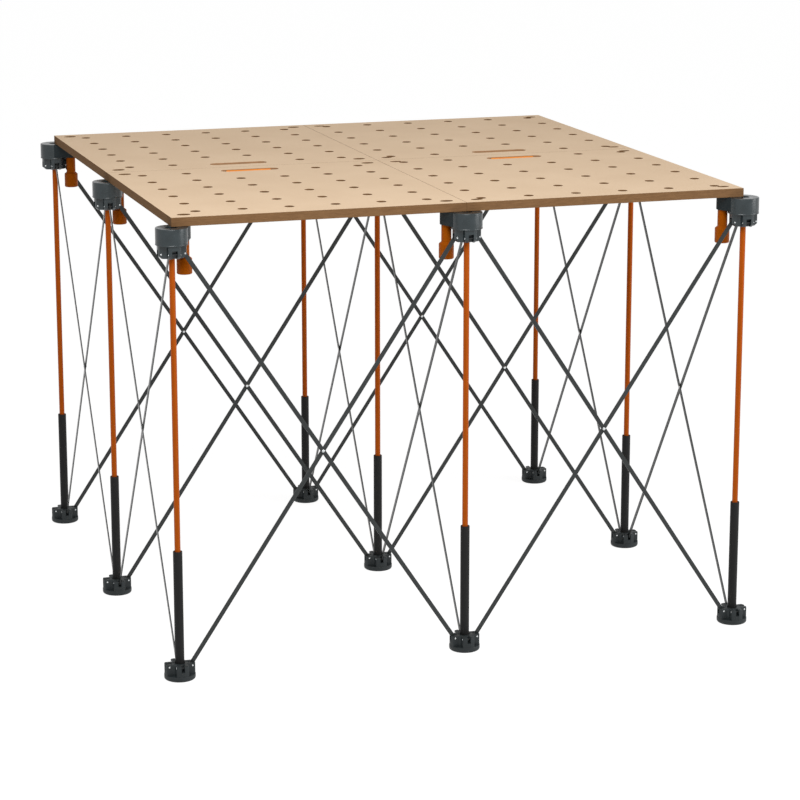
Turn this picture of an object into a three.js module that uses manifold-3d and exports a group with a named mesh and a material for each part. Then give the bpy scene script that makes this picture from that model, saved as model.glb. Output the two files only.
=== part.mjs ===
// Folding workbench: nine telescoping struts in a three by three grid, tied by scissor braces,
// under a tabletop of four panels in two fold-flat units. Millimetres, +Z up, and the origin is
// on the floor under the centre strut.
import * as THREE from "three";
import { mergeVertices } from "three/addons/utils/BufferGeometryUtils.js";
import Module from "manifold-3d";

const wasm = await Module();
wasm.setup();

// Gaps between pieces that fit together
const FIT_GAP = 0.3; // a seat, or a piece laid on another
const PIN_GAP = 0.4; // a pin or rivet in its hole

// Tabletop panels, their seams and their holes
const PANEL_SIDE = 609;
const PANEL_THICK = 18;
const SEAM_GAP = 1;
const SEAM_CHAMFER = 2.6; // lower edge along the fold, which lets the two halves swing down
const DOG_HOLE_RADIUS = 10;
const DOG_HOLE_ROWS = 6;
const DOG_HOLE_PITCH_LEFT = 96.4; // the two units are drilled on different grids
const DOG_HOLE_PITCH_RIGHT = 103.4;
const KEYHOLE_INSET = 32; // from two panel edges to the keyhole's middle
const KEYHOLE_LENGTH = 26;
const KEYHOLE_WIDTH = 11;
const KEYHOLE_FLAT = 13; // straight part of the two long walls
const KEYHOLE_END = 5; // width of the two ends
const SLOT_LENGTH = 128; // hand slot beside the fold
const SLOT_WIDTH = 26;
const SLOT_INSET = 49.5; // from the fold edge to the slot's middle
const GRIP_THICK = 5; // plastic grip on the slot's wall
const GRIP_REVEAL = 1.5; // how far the grip stops short of the panel's two faces
const GRIP_END_GAP = 1;

// Hinge links of the two folding units
const LINK_LENGTH = 50;
const LINK_HEIGHT = 4.8;
const LINK_END = 3; // from a pin's middle to the link's edge
const LINK_PIN_RADIUS = 2;
const LINK_PIN_REACH = 5;
const LINK_PIN_INSET = 4.5; // from the middle of the fold to a pin
const LINK_PIN_DEPTH = 4; // from the panel's underside up to a pin
const LINK_SPREAD = 350; // between a unit's two links

// Heads: a cup with a socket, above a hub with four slotted lobes
const HEAD_TOP = 926.2; // above the floor
const CUP_RADIUS = 32;
const CUP_HEIGHT = 34;
const CUP_RIM_CHAMFER = 1.8;
const CUP_FOOT_CHAMFER = 1.5;
const SOCKET_RADIUS = 11;
const SOCKET_DEPTH = 30;
const HUB_RADIUS = 29;
const HUB_HEIGHT = 28;
const HUB_CHAMFER = 5;
const HEAD_PIN_DROP = 51; // from the rim to the brace pins
const HEAD_SLOT_ROOF = 8; // above the brace pins

// Feet: a drum with the same four slotted lobes
const FOOT_RADIUS = 32;
const FOOT_HEIGHT = 33;
const FOOT_BASE = 11; // solid part below the lobes
const FOOT_EDGE = 3.5; // rounding of the bottom edge
const FOOT_PIN_HEIGHT = 28.5;
const FOOT_SLOT_FLOOR = 8; // below the brace pins
const LOBE_WIDTH = 25;
const LOBE_SLOT = 11;
const LOBE_SLOT_INNER = 17; // radius where a slot begins
const BRACE_PIN_CIRCLE = 24; // radius of the brace pins about the strut
const BRACE_PIN_RADIUS = 1.8;

// Telescoping tubes
const UPPER_TUBE_RADIUS = 6;
const UPPER_TUBE_WALL = 1.2;
const UPPER_TUBE_END = 45; // lower end above the floor
const LOWER_TUBE_RADIUS = 9.5;
const LOWER_TUBE_WALL = 1.6;
const LOWER_TUBE_TOP = 268;
const LOWER_TUBE_FLOOR = 12; // inner floor above the ground

// Scissor braces: flat bars in pairs, riveted where they cross
const BRACE_WIDTH = 9;
const BRACE_THICK = 2;
const BRACE_EYE_RADIUS = 5.2;
const RIVET_RADIUS = 1.9;
const RIVET_HEAD_RADIUS = 3.6;
const RIVET_HEAD_HEIGHT = 1.4;

// Lock brackets on the eight outer heads, and their turning knobs
const BOSS_RADIUS = 13.6;
const BOSS_HEIGHT = 25;
const BOSS_DROP = 0.5; // boss top below the cup's rim
const BOSS_BORE = 6;
const BOSS_RECESS_RADIUS = 11.4; // holds the knob's cross bar
const BOSS_RECESS_DEPTH = 6;
const ARM_ROOT_WIDTH = 44; // where the arm meets the cup
const SPINDLE_RADIUS = 5;
const CROSS_BAR_HALF = 9.6;
const CROSS_BAR_WIDTH = 7;
const CROSS_BAR_HEIGHT = 4.2;
const NECK_RADIUS = 10.4;
const NECK_LENGTH = 39;
const GRIP_RADIUS = 15.4;
const GRIP_LENGTH = 35;
const GRIP_SHOULDER = 5;
const GRIP_EDGE = 2;

// How finely round shapes are cut
const ROUND_SIDES = 16;
const KNOB_SIDES = 10;
const TUBE_SIDES = 8;
const HOLE_SIDES = 8;
const PIN_SIDES = 6;
const ARC_STEPS = 2;
const JOIN = 1; // how far joined solids of one piece reach into each other

// Places worked out from the sizes above
const PITCH = PANEL_SIDE + SEAM_GAP; // strut to strut
const DECK_UNDERSIDE = HEAD_TOP + FIT_GAP;
const HEAD_PIN_HEIGHT = HEAD_TOP - HEAD_PIN_DROP;
const CUP_BOTTOM = HEAD_TOP - CUP_HEIGHT;
const HUB_BOTTOM = CUP_BOTTOM - HUB_HEIGHT;
const BRACKET_OFFSET = KEYHOLE_INSET + SEAM_GAP / 2; // along X and along Y, strut to knob
const BOSS_TOP = HEAD_TOP - BOSS_DROP;
const BOSS_BOTTOM = BOSS_TOP - BOSS_HEIGHT;
const BRACE_OFFSET = (BRACE_THICK + PIN_GAP) / 2; // of each bar from the pair's middle plane
const QUARTER = Math.PI / 2;

// A closed geometry as a solid that can be joined and cut.
function solid(geometry) {
  geometry.deleteAttribute("normal");
  geometry.deleteAttribute("uv");
  const merged = mergeVertices(geometry);
  const corners = merged.index.array;
  const kept = [];
  for (let i = 0; i < corners.length; i += 3) {
    const [a, b, c] = corners.slice(i, i + 3);
    if (a !== b && b !== c && c !== a) kept.push(a, b, c);
  }
  return new wasm.Manifold(
    new wasm.Mesh({
      numProp: 3,
      vertProperties: merged.attributes.position.array,
      triVerts: new Uint32Array(kept),
    }),
  );
}

function geometryOf(shape) {
  const { vertProperties, triVerts } = shape.getMesh();
  const geometry = new THREE.BufferGeometry();
  geometry.setAttribute("position", new THREE.BufferAttribute(vertProperties, 3));
  geometry.setIndex(new THREE.BufferAttribute(triVerts, 1));
  geometry.computeVertexNormals();
  return geometry;
}

// A box between two corners.
function block(low, high) {
  const size = low.map((value, i) => high[i] - value);
  const middle = low.map((value, i) => (high[i] + value) / 2);
  return solid(new THREE.BoxGeometry(...size).translate(...middle));
}

// A round bar between two heights, standing on the Z axis.
function post(radius, low, high, sides) {
  const geometry = new THREE.CylinderGeometry(radius, radius, high - low, sides);
  return solid(geometry.rotateX(QUARTER).translate(0, 0, (low + high) / 2));
}

// A round bar lying along X, with its middle at the given place.
function crossRod(radius, length, sides, [x, y, z]) {
  const geometry = new THREE.CylinderGeometry(radius, radius, length, sides);
  return solid(geometry.rotateZ(QUARTER).translate(x, y, z));
}

// A turned shape from [radius, height] points, listed from the bottom up.
function turned(profile, sides) {
  const points = profile.map(([radius, height]) => new THREE.Vector2(radius, height));
  return solid(new THREE.LatheGeometry(points, sides).rotateX(QUARTER));
}

// A straight tube: an outer post with an inner post cut out of it.
function tube(radius, wall, low, high, floor) {
  const inside = post(radius - wall, floor, high + JOIN, TUBE_SIDES);
  return post(radius, low, high, TUBE_SIDES).subtract(inside);
}

// A ring of corner points about a middle.
function ring(radius, sides, [x, y]) {
  return Array.from({ length: sides }, (_, i) => {
    const angle = (2 * Math.PI * (i + 0.5)) / sides;
    return new THREE.Vector2(x + radius * Math.cos(angle), y + radius * Math.sin(angle));
  });
}

const bench = new THREE.Group();
bench.name = "folding_workbench";

function addPiece(name, geometry, colour, roughness, metalness) {
  const finish = new THREE.MeshStandardMaterial({ color: colour, roughness, metalness });
  const piece = new THREE.Mesh(geometry, finish);
  piece.name = name;
  bench.add(piece);
  return piece;
}

// The strut grid. Columns run along X and rows along Y, and turn is the way that the lock bracket
// points from its strut, with none on the centre strut.
const STRUTS = [
  { name: "front_left", column: -1, row: -1, turn: [1, 1] },
  { name: "front_mid", column: 0, row: -1, turn: [-1, 1] },
  { name: "front_right", column: 1, row: -1, turn: [-1, 1] },
  { name: "mid_left", column: -1, row: 0, turn: [1, 1] },
  { name: "centre", column: 0, row: 0, turn: null },
  { name: "mid_right", column: 1, row: 0, turn: [-1, -1] },
  { name: "back_left", column: -1, row: 1, turn: [1, -1] },
  { name: "back_mid", column: 0, row: 1, turn: [1, -1] },
  { name: "back_right", column: 1, row: 1, turn: [-1, -1] },
];
const placeOf = (strut) => new THREE.Vector3(strut.column * PITCH, strut.row * PITCH, 0);

// Four lobes: two crossed blocks, trimmed to the round outline that the profile gives.
function lobes(profile, low, high) {
  const reach = FOOT_RADIUS + CUP_RADIUS;
  const half = LOBE_WIDTH / 2;
  const along = block([-reach, -half, low], [reach, half, high]);
  const across = block([-half, -reach, low], [half, reach, high]);
  return along.add(across).intersect(turned(profile, ROUND_SIDES));
}

// The slots and pins of the lobes, one in each of the four directions.
function cutSlots(body, low, high, pinHeight) {
  const reach = FOOT_RADIUS + CUP_RADIUS;
  const half = LOBE_SLOT / 2;
  const slot = block([LOBE_SLOT_INNER, -half, low], [reach, half, high]);
  const pinLength = LOBE_WIDTH - 2 * JOIN;
  const pin = crossRod(BRACE_PIN_RADIUS, pinLength, PIN_SIDES, [0, -BRACE_PIN_CIRCLE, pinHeight]);
  let made = body;
  for (const degrees of [0, 90, 180, 270]) {
    made = made.subtract(slot.rotate([0, 0, degrees])).add(pin.rotate([0, 0, degrees]));
  }
  return made;
}

// A foot with the lower tube standing in it.
function lowerStrut() {
  const base = turned(
    [
      [0, 0],
      [FOOT_RADIUS - FOOT_EDGE, 0],
      [FOOT_RADIUS, FOOT_EDGE],
      [FOOT_RADIUS, FOOT_BASE],
      [0, FOOT_BASE],
    ],
    ROUND_SIDES,
  );
  const outline = [
    [0, 0],
    [FOOT_RADIUS, 0],
    [FOOT_RADIUS, FOOT_HEIGHT],
    [0, FOOT_HEIGHT],
  ];
  const drum = base.add(lobes(outline, FOOT_BASE - JOIN, FOOT_HEIGHT));
  const floor = FOOT_PIN_HEIGHT - FOOT_SLOT_FLOOR;
  const slotted = cutSlots(drum, floor, FOOT_HEIGHT + JOIN, FOOT_PIN_HEIGHT);
  const inside = post(LOWER_TUBE_RADIUS - LOWER_TUBE_WALL, LOWER_TUBE_FLOOR, LOWER_TUBE_TOP, TUBE_SIDES);
  const pipe = tube(LOWER_TUBE_RADIUS, LOWER_TUBE_WALL, FOOT_BASE - JOIN, LOWER_TUBE_TOP, LOWER_TUBE_FLOOR);
  return slotted.subtract(inside).add(pipe);
}

// The arm and boss that carry a lock knob, pointing along +X.
function bracket() {
  const reach = Math.hypot(BRACKET_OFFSET, BRACKET_OFFSET);
  const arm = new THREE.Shape([
    new THREE.Vector2(0, -ARM_ROOT_WIDTH / 2),
    new THREE.Vector2(reach, -BOSS_RADIUS),
    new THREE.Vector2(reach, BOSS_RADIUS),
    new THREE.Vector2(0, ARM_ROOT_WIDTH / 2),
  ]);
  const web = new THREE.ExtrudeGeometry(arm, { depth: BOSS_HEIGHT, bevelEnabled: false });
  const boss = post(BOSS_RADIUS, BOSS_BOTTOM, BOSS_TOP, KNOB_SIDES).translate([reach, 0, 0]);
  const bore = post(BOSS_BORE, BOSS_BOTTOM - JOIN, BOSS_TOP, TUBE_SIDES);
  const recess = post(BOSS_RECESS_RADIUS, BOSS_TOP - BOSS_RECESS_DEPTH, BOSS_TOP + JOIN, TUBE_SIDES);
  const opening = bore.add(recess).translate([reach, 0, 0]);
  return { body: solid(web.translate(0, 0, BOSS_BOTTOM)).add(boss), opening };
}

// A head with the upper tube hanging from it, and the lock bracket where there is one.
function upperStrut(turn) {
  const cup = turned(
    [
      [0, CUP_BOTTOM],
      [CUP_RADIUS - CUP_FOOT_CHAMFER, CUP_BOTTOM],
      [CUP_RADIUS, CUP_BOTTOM + CUP_FOOT_CHAMFER],
      [CUP_RADIUS, HEAD_TOP - CUP_RIM_CHAMFER],
      [CUP_RADIUS - CUP_RIM_CHAMFER, HEAD_TOP],
      [0, HEAD_TOP],
    ],
    ROUND_SIDES,
  );
  const outline = [
    [0, HUB_BOTTOM],
    [HUB_RADIUS - HUB_CHAMFER, HUB_BOTTOM],
    [HUB_RADIUS, HUB_BOTTOM + HUB_CHAMFER],
    [HUB_RADIUS, CUP_BOTTOM + JOIN],
    [0, CUP_BOTTOM + JOIN],
  ];
  const hub = lobes(outline, HUB_BOTTOM, CUP_BOTTOM + JOIN);
  const roof = HEAD_PIN_HEIGHT + HEAD_SLOT_ROOF;
  let head = cutSlots(cup.add(hub), HUB_BOTTOM - JOIN, roof, HEAD_PIN_HEIGHT);
  if (turn) {
    const degrees = THREE.MathUtils.radToDeg(Math.atan2(turn[1], turn[0]));
    const { body, opening } = bracket();
    head = head.add(body.rotate([0, 0, degrees])).subtract(opening.rotate([0, 0, degrees]));
  }
  const socket = post(SOCKET_RADIUS, HEAD_TOP - SOCKET_DEPTH, HEAD_TOP + JOIN, TUBE_SIDES);
  const pipe = post(UPPER_TUBE_RADIUS, UPPER_TUBE_END, HUB_BOTTOM + JOIN, TUBE_SIDES);
  const hollow = post(UPPER_TUBE_RADIUS - UPPER_TUBE_WALL, UPPER_TUBE_END - JOIN, HUB_BOTTOM, TUBE_SIDES);
  return head.subtract(socket).add(pipe.subtract(hollow));
}

const lowerStrutShape = geometryOf(lowerStrut());
for (const strut of STRUTS) {
  const lower = addPiece(`lower_strut_${strut.name}`, lowerStrutShape.clone(), 0x2a2d2f, 0.6, 0.1);
  lower.position.copy(placeOf(strut));
  const upper = addPiece(`upper_strut_${strut.name}`, geometryOf(upperStrut(strut.turn)), 0x414b50, 0.55, 0);
  upper.position.copy(placeOf(strut));
}

// Lock knobs: turned grip, neck and spindle, with a cross bar in the boss's recess.
function lockKnob() {
  const recessFloor = BOSS_TOP - BOSS_RECESS_DEPTH;
  const neckTop = BOSS_BOTTOM - FIT_GAP;
  const gripTop = neckTop - NECK_LENGTH;
  const gripBottom = gripTop - GRIP_LENGTH;
  const barBottom = recessFloor + FIT_GAP;
  const body = turned(
    [
      [0, gripBottom],
      [GRIP_RADIUS - GRIP_EDGE, gripBottom],
      [GRIP_RADIUS, gripBottom + GRIP_EDGE],
      [GRIP_RADIUS, gripTop - GRIP_SHOULDER],
      [NECK_RADIUS, gripTop],
      [NECK_RADIUS, neckTop],
      [SPINDLE_RADIUS, neckTop],
      [SPINDLE_RADIUS, barBottom + JOIN],
      [0, barBottom + JOIN],
    ],
    KNOB_SIDES,
  );
  const half = CROSS_BAR_WIDTH / 2;
  const barTop = barBottom + CROSS_BAR_HEIGHT;
  return body.add(block([-CROSS_BAR_HALF, -half, barBottom], [CROSS_BAR_HALF, half, barTop]));
}

const lockKnobShape = geometryOf(lockKnob());
for (const strut of STRUTS.filter(({ turn }) => turn)) {
  const knob = addPiece(`lock_knob_${strut.name}`, lockKnobShape.clone(), 0xaa5208, 0.5, 0);
  const shift = new THREE.Vector3(strut.turn[0] * BRACKET_OFFSET, strut.turn[1] * BRACKET_OFFSET, 0);
  knob.position.copy(placeOf(strut)).add(shift);
}

// Scissor braces between neighbouring struts. Each bar runs from one strut's foot to the other's
// head, and the first bar of a pair carries the rivet that the second turns on.
const SPAN = PITCH - 2 * BRACE_PIN_CIRCLE;
const RISE = HEAD_PIN_HEIGHT - FOOT_PIN_HEIGHT;
const BRACE_LENGTH = Math.hypot(SPAN, RISE);
const holeRadius = (pinRadius) => (pinRadius + PIN_GAP) / Math.cos(Math.PI / PIN_SIDES);

function braceBar(hasRivet) {
  const half = BRACE_WIDTH / 2;
  const start = Math.asin(half / BRACE_EYE_RADIUS);
  const outline = new THREE.Shape();
  outline.absarc(0, 0, BRACE_EYE_RADIUS, start, 2 * Math.PI - start, false);
  outline.absarc(BRACE_LENGTH, 0, BRACE_EYE_RADIUS, start - Math.PI, Math.PI - start, false);
  const eye = holeRadius(BRACE_PIN_RADIUS);
  outline.holes.push(new THREE.Path(ring(eye, PIN_SIDES, [0, 0])));
  outline.holes.push(new THREE.Path(ring(eye, PIN_SIDES, [BRACE_LENGTH, 0])));
  if (!hasRivet) {
    const hole = ring(holeRadius(RIVET_RADIUS), PIN_SIDES, [BRACE_LENGTH / 2, 0]);
    outline.holes.push(new THREE.Path(hole));
  }
  const settings = { depth: BRACE_THICK, bevelEnabled: false, curveSegments: ARC_STEPS };
  const bar = solid(new THREE.ExtrudeGeometry(outline, settings).translate(0, 0, -BRACE_THICK / 2));
  if (!hasRivet) return bar;
  const nearFace = BRACE_THICK / 2;
  const farFace = -(nearFace + PIN_GAP + BRACE_THICK + FIT_GAP);
  const shank = post(RIVET_RADIUS, farFace - RIVET_HEAD_HEIGHT / 2, nearFace, PIN_SIDES);
  const nearHead = post(RIVET_HEAD_RADIUS, nearFace - JOIN, nearFace + RIVET_HEAD_HEIGHT, PIN_SIDES);
  const farHead = post(RIVET_HEAD_RADIUS, farFace - RIVET_HEAD_HEIGHT, farFace, PIN_SIDES);
  const rivet = shank.add(nearHead).add(farHead);
  return bar.add(rivet.translate([BRACE_LENGTH / 2, 0, 0]));
}

const rivetedBar = geometryOf(braceBar(true));
const plainBar = geometryOf(braceBar(false));
const UP = new THREE.Vector3(0, 0, 1);

function addBrace(from, to, shape, side) {
  const way = placeOf(to).sub(placeOf(from)).normalize();
  const along = way.clone().multiplyScalar(SPAN).addScaledVector(UP, RISE).normalize();
  const depth = UP.clone().cross(way).multiplyScalar(side);
  const upright = depth.clone().cross(along);
  const brace = addPiece(`brace_${from.name}_to_${to.name}`, shape.clone(), 0x3e4444, 0.5, 0.6);
  brace.setRotationFromMatrix(new THREE.Matrix4().makeBasis(along, upright, depth));
  brace.position.copy(placeOf(from)).addScaledVector(way, BRACE_PIN_CIRCLE);
  brace.position.addScaledVector(depth, BRACE_OFFSET);
  brace.position.z = FOOT_PIN_HEIGHT;
}

// Pairs start from the strut nearer the centre, which carries the riveted bar's lower end.
const PAIRS = [
  ["centre", "mid_right"],
  ["centre", "mid_left"],
  ["centre", "front_mid"],
  ["centre", "back_mid"],
  ["front_mid", "front_right"],
  ["front_mid", "front_left"],
  ["back_mid", "back_right"],
  ["back_mid", "back_left"],
  ["mid_right", "front_right"],
  ["mid_right", "back_right"],
  ["mid_left", "front_left"],
  ["mid_left", "back_left"],
];
const strutNamed = (name) => STRUTS.find((strut) => strut.name === name);
for (const [first, second] of PAIRS) {
  addBrace(strutNamed(first), strutNamed(second), rivetedBar, 1);
  addBrace(strutNamed(second), strutNamed(first), plainBar, 1);
}

// Tabletop panels. A panel's own places are counted from the two seams that meet at the bench's
// middle: across along X, and out along Y from the fold.
const LINK_PLACES = [-1, 1].map((side) => PANEL_SIDE / 2 + (side * LINK_SPREAD) / 2);
const PIN_LEVEL = DECK_UNDERSIDE + LINK_PIN_DEPTH;
const KEYHOLE = keyhole();

function panel(sideX, sideY) {
  const spot = (across, out) => [
    sideX * (SEAM_GAP / 2 + across),
    sideY * (SEAM_GAP / 2 + out),
  ];
  const corners = [
    [0, 0],
    [PANEL_SIDE, 0],
    [PANEL_SIDE, PANEL_SIDE],
    [0, PANEL_SIDE],
  ];
  const outline = new THREE.Shape(corners.map((corner) => new THREE.Vector2(...spot(...corner))));
  const pitch = sideX < 0 ? DOG_HOLE_PITCH_LEFT : DOG_HOLE_PITCH_RIGHT;
  const margin = (PANEL_SIDE - (DOG_HOLE_ROWS - 1) * pitch) / 2;
  const slotStart = (PANEL_SIDE - SLOT_LENGTH) / 2;
  const slotReach = SLOT_INSET + SLOT_WIDTH / 2 + DOG_HOLE_RADIUS;
  for (let row = 0; row < DOG_HOLE_ROWS; row += 1) {
    for (let column = 0; column < DOG_HOLE_ROWS; column += 1) {
      const across = margin + column * pitch;
      const out = margin + row * pitch;
      const besideSlot = Math.abs(across - PANEL_SIDE / 2) < SLOT_LENGTH / 2 + DOG_HOLE_RADIUS;
      if (besideSlot && out < slotReach) continue;
      outline.holes.push(new THREE.Path(ring(DOG_HOLE_RADIUS, HOLE_SIDES, spot(across, out))));
    }
  }
  const radius = SLOT_WIDTH / 2;
  const ends = [slotStart + radius, slotStart + SLOT_LENGTH - radius].map((across) => spot(across, SLOT_INSET));
  const [low, high] = ends.sort((a, b) => a[0] - b[0]);
  const slot = new THREE.Path();
  slot.absarc(high[0], high[1], radius, -QUARTER, QUARTER, false);
  slot.absarc(low[0], low[1], radius, QUARTER, 3 * QUARTER, false);
  outline.holes.push(slot);
  const settings = { depth: PANEL_THICK, bevelEnabled: false, curveSegments: ARC_STEPS };
  let board = solid(new THREE.ExtrudeGeometry(outline, settings).translate(0, 0, DECK_UNDERSIDE));
  for (const across of [KEYHOLE_INSET, PANEL_SIDE - KEYHOLE_INSET]) {
    for (const out of [KEYHOLE_INSET, PANEL_SIDE - KEYHOLE_INSET]) {
      const [x, y] = spot(across, out);
      board = board.subtract(KEYHOLE.translate([x, y, 0]));
    }
  }
  return board.subtract(foldChamfer(sideX, sideY)).subtract(linkRecesses(sideX, sideY));
}

// The slot that the cross bar of a lock knob goes up through, with tapered ends.
function keyhole() {
  const half = KEYHOLE_LENGTH / 2;
  const end = KEYHOLE_END / 2;
  const flat = KEYHOLE_FLAT / 2;
  const wide = KEYHOLE_WIDTH / 2;
  const outline = new THREE.Shape(
    [
      [-half, -end],
      [-flat, -wide],
      [flat, -wide],
      [half, -end],
      [half, end],
      [flat, wide],
      [-flat, wide],
      [-half, end],
    ].map((corner) => new THREE.Vector2(...corner)),
  );
  const depth = PANEL_THICK + 2 * JOIN;
  const plug = new THREE.ExtrudeGeometry(outline, { depth, bevelEnabled: false });
  return solid(plug.translate(0, 0, DECK_UNDERSIDE - JOIN));
}

// The slanted cut along the lower edge of the fold.
function foldChamfer(sideX, sideY) {
  const length = PANEL_SIDE + 2 * JOIN;
  const reach = SEAM_CHAMFER + SEAM_GAP / 2;
  const tip = new THREE.Shape([
    new THREE.Vector2(-JOIN, -JOIN),
    new THREE.Vector2(reach + JOIN, -JOIN),
    new THREE.Vector2(-JOIN, reach + JOIN),
  ]);
  const bar = new THREE.ExtrudeGeometry(tip, { depth: length, bevelEnabled: false });
  bar.rotateX(QUARTER).rotateZ(QUARTER);
  const cut = solid(bar.translate(-JOIN, 0, 0));
  return cut.scale([sideX, sideY, 1]).translate([0, 0, DECK_UNDERSIDE]);
}

// Recesses under the fold for the hinge links, with blind holes for their pins.
function linkRecesses(sideX, sideY) {
  const swing = Math.hypot(LINK_END, LINK_HEIGHT / 2) + PIN_GAP;
  const half = LINK_LENGTH / 2 + FIT_GAP;
  const deep = LINK_PIN_INSET + swing;
  const pinHole = holeRadius(LINK_PIN_RADIUS);
  const pinLength = LINK_LENGTH + 2 * (LINK_PIN_REACH + FIT_GAP);
  let made = null;
  for (const across of LINK_PLACES) {
    const x = sideX * (SEAM_GAP / 2 + across);
    const y = sideY * LINK_PIN_INSET;
    const far = sideY * deep;
    const near = -sideY * JOIN;
    const top = PIN_LEVEL + swing;
    const low = [x - half, Math.min(near, far), DECK_UNDERSIDE - JOIN];
    const pocket = block(low, [x + half, Math.max(near, far), top]);
    const cut = pocket.add(crossRod(pinHole, pinLength, PIN_SIDES, [x, y, PIN_LEVEL]));
    made = made ? made.add(cut) : cut;
  }
  return made;
}

const SIDES_X = [
  { side: -1, word: "left" },
  { side: 1, word: "right" },
];
const SIDES_Y = [
  { side: -1, word: "front" },
  { side: 1, word: "back" },
];
for (const { side: sideX, word: wordX } of SIDES_X) {
  for (const { side: sideY, word: wordY } of SIDES_Y) {
    addPiece(`panel_${wordY}_${wordX}`, geometryOf(panel(sideX, sideY)), 0xd8bd9d, 0.75, 0);
  }
}

// Hinge links: a flat steel link with two pins, let into the underside across the fold.
function hingeLink(x) {
  const half = LINK_LENGTH / 2;
  const wide = LINK_PIN_INSET + LINK_END;
  const level = LINK_HEIGHT / 2;
  const bar = block([x - half, -wide, PIN_LEVEL - level], [x + half, wide, PIN_LEVEL + level]);
  const length = LINK_LENGTH + 2 * LINK_PIN_REACH;
  const pins = [-LINK_PIN_INSET, LINK_PIN_INSET].map((y) =>
    crossRod(LINK_PIN_RADIUS, length, PIN_SIDES, [x, y, PIN_LEVEL]),
  );
  return bar.add(pins[0]).add(pins[1]);
}

for (const { side, word } of SIDES_X) {
  LINK_PLACES.forEach((across, i) => {
    const name = `hinge_link_${word}_${i === 0 ? "inner" : "outer"}`;
    addPiece(name, geometryOf(hingeLink(side * (SEAM_GAP / 2 + across))), 0x8a8d90, 0.4, 0.9);
  });
}

// Hand grips: a moulded strip with a rounded face, on the fold-side wall of each front hand slot.
function handGrip(x) {
  const length = SLOT_LENGTH - SLOT_WIDTH - 2 * GRIP_END_GAP;
  const bottom = DECK_UNDERSIDE + GRIP_REVEAL;
  const top = DECK_UNDERSIDE + PANEL_THICK - GRIP_REVEAL;
  const wall = -(SEAM_GAP / 2 + SLOT_INSET - SLOT_WIDTH / 2) - FIT_GAP;
  const half = (top - bottom) / 2;
  const profile = new THREE.Shape();
  profile.moveTo(0, -half);
  profile.lineTo(0, half);
  profile.absellipse(0, 0, GRIP_THICK, half, QUARTER, 3 * QUARTER, false, 0);
  const strip = new THREE.ExtrudeGeometry(profile, {
    depth: length,
    bevelEnabled: false,
    curveSegments: ARC_STEPS,
  });
  strip.rotateX(QUARTER).rotateZ(QUARTER);
  return solid(strip.translate(x - length / 2, wall, (top + bottom) / 2));
}

for (const { side, word } of SIDES_X) {
  const x = side * (SEAM_GAP / 2 + PANEL_SIDE / 2);
  addPiece(`hand_grip_${word}`, geometryOf(handGrip(x)), 0xd9822f, 0.45, 0);
}

export default bench;
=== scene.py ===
"""Looks of the folding workbench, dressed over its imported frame.

Shapes are drawn in millimetres in a piece's own place, and become metres when the piece is placed.
"""

import math

import bmesh
import bpy
from mathutils import Matrix, Vector


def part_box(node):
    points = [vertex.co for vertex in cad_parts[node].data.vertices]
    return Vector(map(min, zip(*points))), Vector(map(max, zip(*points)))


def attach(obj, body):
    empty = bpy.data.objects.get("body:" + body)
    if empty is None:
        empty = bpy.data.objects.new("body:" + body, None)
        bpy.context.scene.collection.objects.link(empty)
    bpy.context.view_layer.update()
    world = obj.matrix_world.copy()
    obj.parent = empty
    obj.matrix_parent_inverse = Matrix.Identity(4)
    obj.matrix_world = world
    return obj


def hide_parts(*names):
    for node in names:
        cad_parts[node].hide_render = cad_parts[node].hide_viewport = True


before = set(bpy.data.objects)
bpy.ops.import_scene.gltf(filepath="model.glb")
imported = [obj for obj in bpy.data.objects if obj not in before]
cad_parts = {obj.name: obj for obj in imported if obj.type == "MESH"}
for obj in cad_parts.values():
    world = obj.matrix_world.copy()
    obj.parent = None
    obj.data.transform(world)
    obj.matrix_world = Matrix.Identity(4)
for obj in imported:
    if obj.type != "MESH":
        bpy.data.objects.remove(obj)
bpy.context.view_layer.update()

# Feet: black moulded nylon drums. A round base ring carries four lobes, each slotted for the brace
# that hinges there, and the lower tube is pressed into the bore in the middle.
MM = 0.001
FOOT_RADIUS = 32
FOOT_HEIGHT = 33
FOOT_BASE = 11  # height of the base ring
FOOT_ROUNDING = 4.5  # of the ring's lower edge
LOBE_RADIUS = 31.3  # the lobes stand just inside the ring
LOBE_WIDTH = 25
LOBE_CORNER = 1.6
LOBE_VALLEY = 5  # fillet where two lobes meet
FOOT_SLOT = 7  # width of a foot's slots
SLOT_WIDTH = 11  # width of a head's slots
SLOT_INNER = 17  # radius where a slot begins
SLOT_FLOOR = 20.5  # of a foot's slots, above the ground
TUBE_BORE = 10.1
FOOT_BLACK = ((0.007, 0.0105, 0.0115), (0.0135, 0.0185, 0.0205))

STRUTS = [n.removeprefix("lower_strut_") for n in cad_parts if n.startswith("lower_strut_")]


def strut_place(strut):
    low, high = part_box("lower_strut_" + strut)
    middle = (low + high) / 2
    return Matrix.Translation((middle.x, middle.y, 0))


def softened(corners, steps=5):
    """Corner points (x, y, radius) as an outline with each corner rounded by its radius."""
    outline = []
    for i, (x, y, radius) in enumerate(corners):
        corner = Vector((x, y))
        if radius == 0:
            outline.append(corner)
            continue
        back = (Vector(corners[i - 1][:2]) - corner).normalized()
        ahead = (Vector(corners[(i + 1) % len(corners)][:2]) - corner).normalized()
        half = back.angle(ahead) / 2
        middle = corner + (back + ahead).normalized() * (radius / math.sin(half))
        first = corner + back * (radius / math.tan(half)) - middle
        last = corner + ahead * (radius / math.tan(half)) - middle
        start = math.atan2(first.y, first.x)
        turn = (math.atan2(last.y, last.x) - start + math.pi) % (2 * math.pi) - math.pi
        for k in range(steps + 1):
            angle = start + turn * k / steps
            outline.append(middle + radius * Vector((math.cos(angle), math.sin(angle))))
    return outline


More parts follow.
